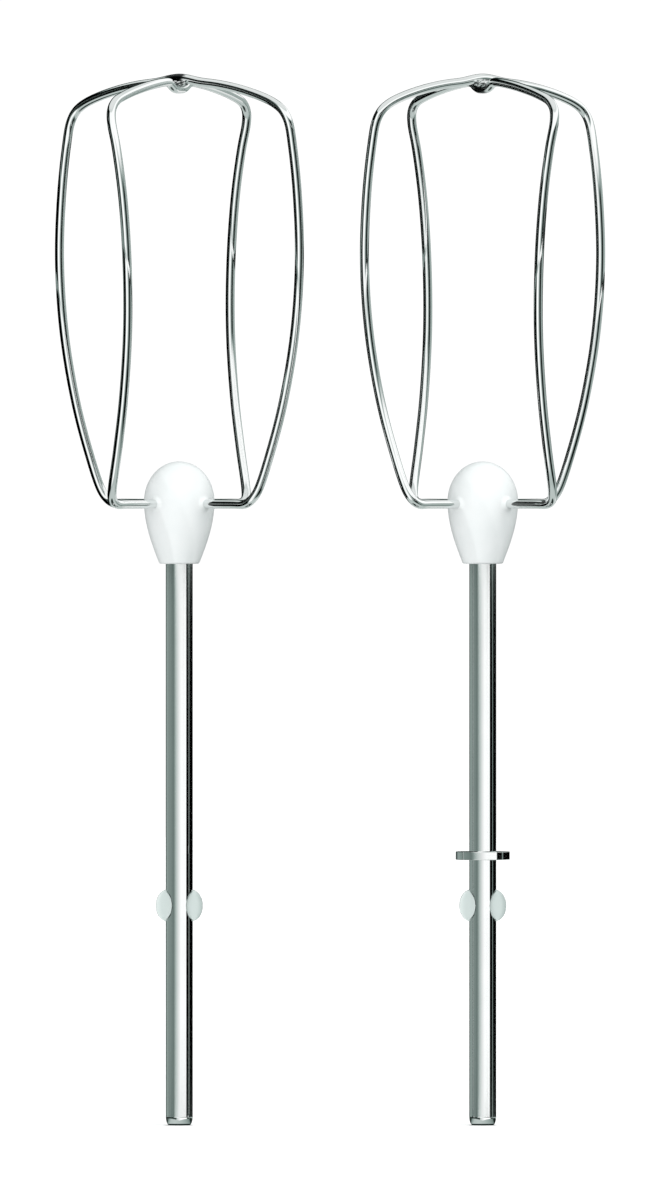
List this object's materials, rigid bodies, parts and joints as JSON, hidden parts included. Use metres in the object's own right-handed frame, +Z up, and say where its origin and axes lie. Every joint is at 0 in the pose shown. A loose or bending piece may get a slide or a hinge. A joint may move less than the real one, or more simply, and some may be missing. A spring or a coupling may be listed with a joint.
{
  "type": "hand mixer beater pair",
  "caption": "Wire beaters for a hand mixer: eared steel drive shafts, moulded plastic hubs and crossed wire loops, with a drive collar on the right shaft.",
  "frame": {"origin": "midway between the two shafts, level with their lower ends, which go into the mixer", "axes": "+Z up along the shafts towards the wire cages, +X from the plain left beater to the collared right one, and -Y towards the front, where the flat faces of the drive ears show"},
  "size_m": [0.102, 0.0461, 0.1947],
  "materials": {
    "shaft_steel": "polished, with faint drawn lines",
    "wire_steel": "bright drawn wire",
    "collar_steel": "polished, with fine turned rings",
    "hub_plastic": "smooth, glossy white"
  },
  "bodies": {
    "left_beater": {"left_drive_shaft": "shaft_steel", "left_hub": "hub_plastic", "left_over_wire": "wire_steel", "left_under_wire": "wire_steel"},
    "right_beater": {"right_drive_shaft": "shaft_steel", "right_collar": "collar_steel", "right_hub": "hub_plastic", "right_over_wire": "wire_steel", "right_under_wire": "wire_steel"}
  },
  "joints": [
    {"name": "right_beater_spin", "type": "hinge", "parent": "left_beater", "child": "right_beater", "pos_m": [0.0281, 0, 0], "axis": [0, 0, 1], "continuous": true}
  ]
}
